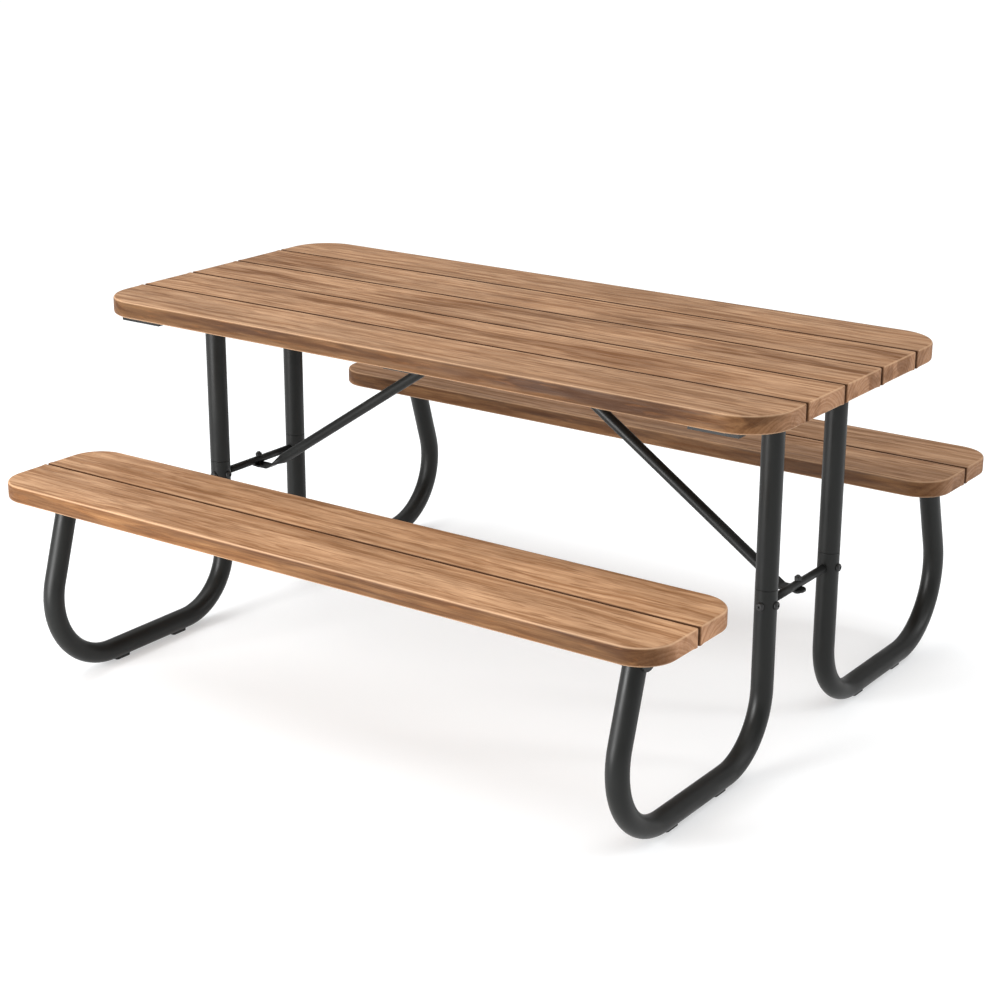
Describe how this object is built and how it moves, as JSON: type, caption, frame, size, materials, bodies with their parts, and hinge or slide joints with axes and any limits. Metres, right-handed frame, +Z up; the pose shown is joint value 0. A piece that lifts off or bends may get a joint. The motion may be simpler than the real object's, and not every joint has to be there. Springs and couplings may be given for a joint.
{
  "type": "picnic table",
  "caption": "Picnic table with a plank top, a plank bench on each long side and bent round-tube end frames braced to the middle of the top.",
  "frame": {"origin": "on the ground, under the middle of the tabletop", "axes": "+X along the planks, +Y across the table to the rear bench, +Z up"},
  "size_m": [1.56, 1.353, 0.74],
  "materials": {
    "stained_wood": "satin brown stain with open grain",
    "charcoal_coat": "satin charcoal powder coat",
    "black_fastener": "black oxide",
    "black_plastic": "matt",
    "zinc_steel": "zinc plated"
  },
  "bodies": {
    "root": {"bench_cleat_screws": "black_fastener", "brace_crossbar_bolts": "black_fastener", "brace_crossbar_nuts": "black_fastener", "brace_left": "charcoal_coat", "brace_right": "charcoal_coat", "brace_top_bolts": "black_fastener", "brace_top_inserts": "zinc_steel", "crossbar_bolts": "black_fastener", "crossbar_inserts": "zinc_steel", "crossbar_left": "charcoal_coat", "crossbar_right": "charcoal_coat", "floor_glides_front_left": "black_plastic", "floor_glides_front_right": "black_plastic", "floor_glides_rear_left": "black_plastic", "floor_glides_rear_right": "black_plastic", "front_bench_cleat": "charcoal_coat", "front_bench_inner_plank": "stained_wood", "front_bench_outer_plank": "stained_wood", "leg_hoop_front_left": "charcoal_coat", "leg_hoop_front_right": "charcoal_coat", "leg_hoop_rear_left": "charcoal_coat", "leg_hoop_rear_right": "charcoal_coat", "post_bracket_bolts": "black_fastener", "post_bracket_front_left": "charcoal_coat", "post_bracket_front_right": "charcoal_coat", "post_bracket_nuts": "black_fastener", "post_bracket_rear_left": "charcoal_coat", "post_bracket_rear_right": "charcoal_coat", "post_bracket_screws": "black_fastener", "post_front_left": "charcoal_coat", "post_front_right": "charcoal_coat", "post_joint_screws": "black_fastener", "post_rear_left": "charcoal_coat", "post_rear_right": "charcoal_coat", "rear_bench_cleat": "charcoal_coat", "rear_bench_inner_plank": "stained_wood", "rear_bench_outer_plank": "stained_wood", "seat_bracket_bolts": "black_fastener", "seat_bracket_front_left": "charcoal_coat", "seat_bracket_front_right": "charcoal_coat", "seat_bracket_nuts": "black_fastener", "seat_bracket_rear_left": "charcoal_coat", "seat_bracket_rear_right": "charcoal_coat", "seat_bracket_screws": "black_fastener", "tabletop_plank_1": "stained_wood", "tabletop_plank_2": "stained_wood", "tabletop_plank_3": "stained_wood", "tabletop_plank_4": "stained_wood", "tabletop_plank_5": "stained_wood", "tabletop_rail_centre": "charcoal_coat", "tabletop_rail_left": "charcoal_coat", "tabletop_rail_right": "charcoal_coat", "tabletop_rail_screws": "black_fastener"}
  },
  "joints": []
}
